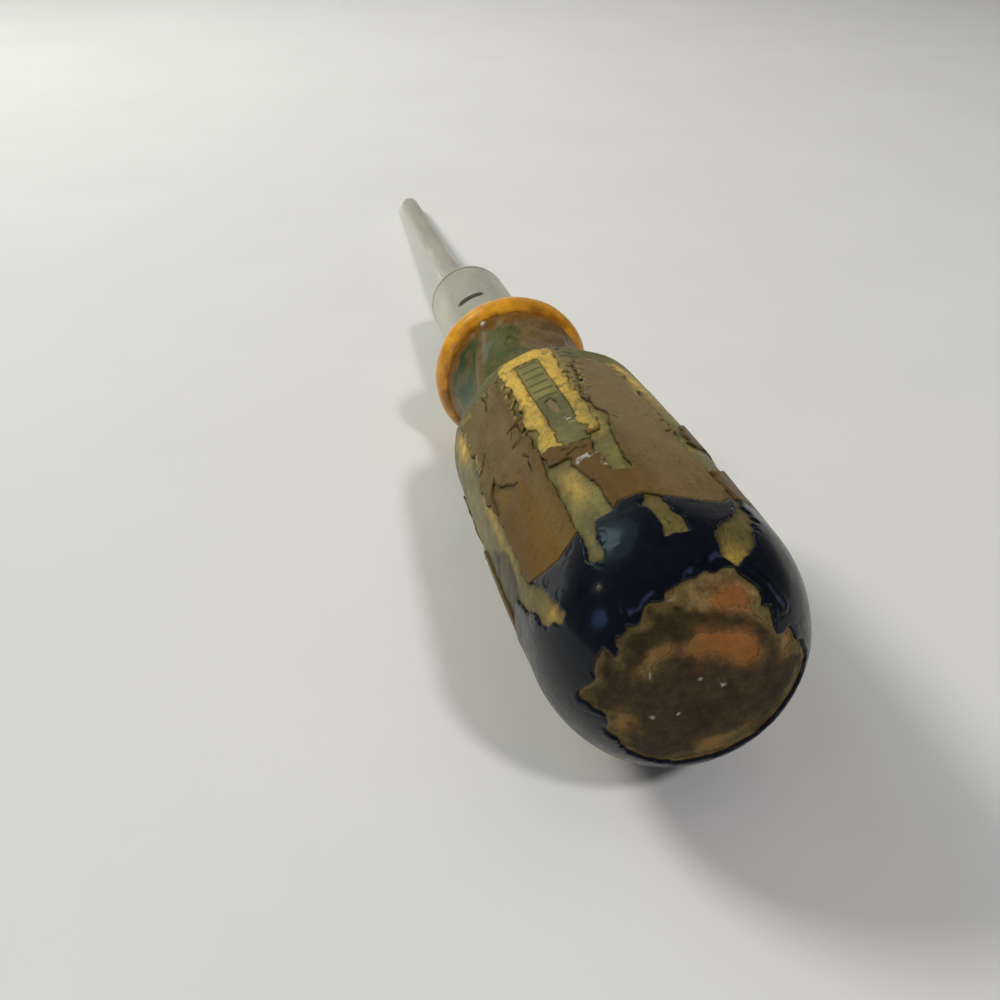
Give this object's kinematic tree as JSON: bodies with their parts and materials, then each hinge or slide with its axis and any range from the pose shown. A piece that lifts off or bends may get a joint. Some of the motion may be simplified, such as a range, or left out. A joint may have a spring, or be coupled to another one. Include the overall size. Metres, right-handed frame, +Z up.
{
  "type": "screwdriver",
  "caption": "Fixed-blade screwdriver lying on its side: round steel blade with a cross point, steel ferrule, beaded neck and a fluted, domed grip in chipped coats.",
  "frame": {"origin": "on the floor under the centre of the tool's bounding box, as it lies on its side", "axes": "+X towards the blade's point, level; the tool's own axis dips 4.7 degrees below +X because it rests on its bead and its blade; +Z up; the label ridge is turned 21 degrees from the top towards +Y"},
  "size_m": [0.2334, 0.0312, 0.0355],
  "materials": {
    "blade_steel": "dull satin, lightly scratched",
    "ferrule_steel": "satin plated steel",
    "amber_plastic": "glossy translucent amber plastic, worn",
    "primer_khaki": "worn semi-gloss film",
    "undercoat_olive": "aged glossy film, olive to yellow",
    "butt_navy": "glossy navy film, chipped",
    "neck_green": "glossy dark green film with brown runs",
    "label_yellow": "aged yellow transfer film",
    "label_green": "dark olive printed film",
    "film_brown": "glossy brown film, flaked along its edges"
  },
  "bodies": {
    "root": {"blade_shank": "blade_steel", "ferrule": "ferrule_steel", "handle_core": "amber_plastic", "primer_coat": "primer_khaki", "undercoat": "undercoat_olive", "butt_dip": "butt_navy", "neck_glaze": "neck_green", "label_border": "label_yellow", "label_panel": "label_green", "flute_film_1": "film_brown", "flute_film_2": "film_brown", "flute_film_3": "film_brown", "flute_film_4": "film_brown", "flute_film_5": "film_brown"}
  },
  "joints": []
}
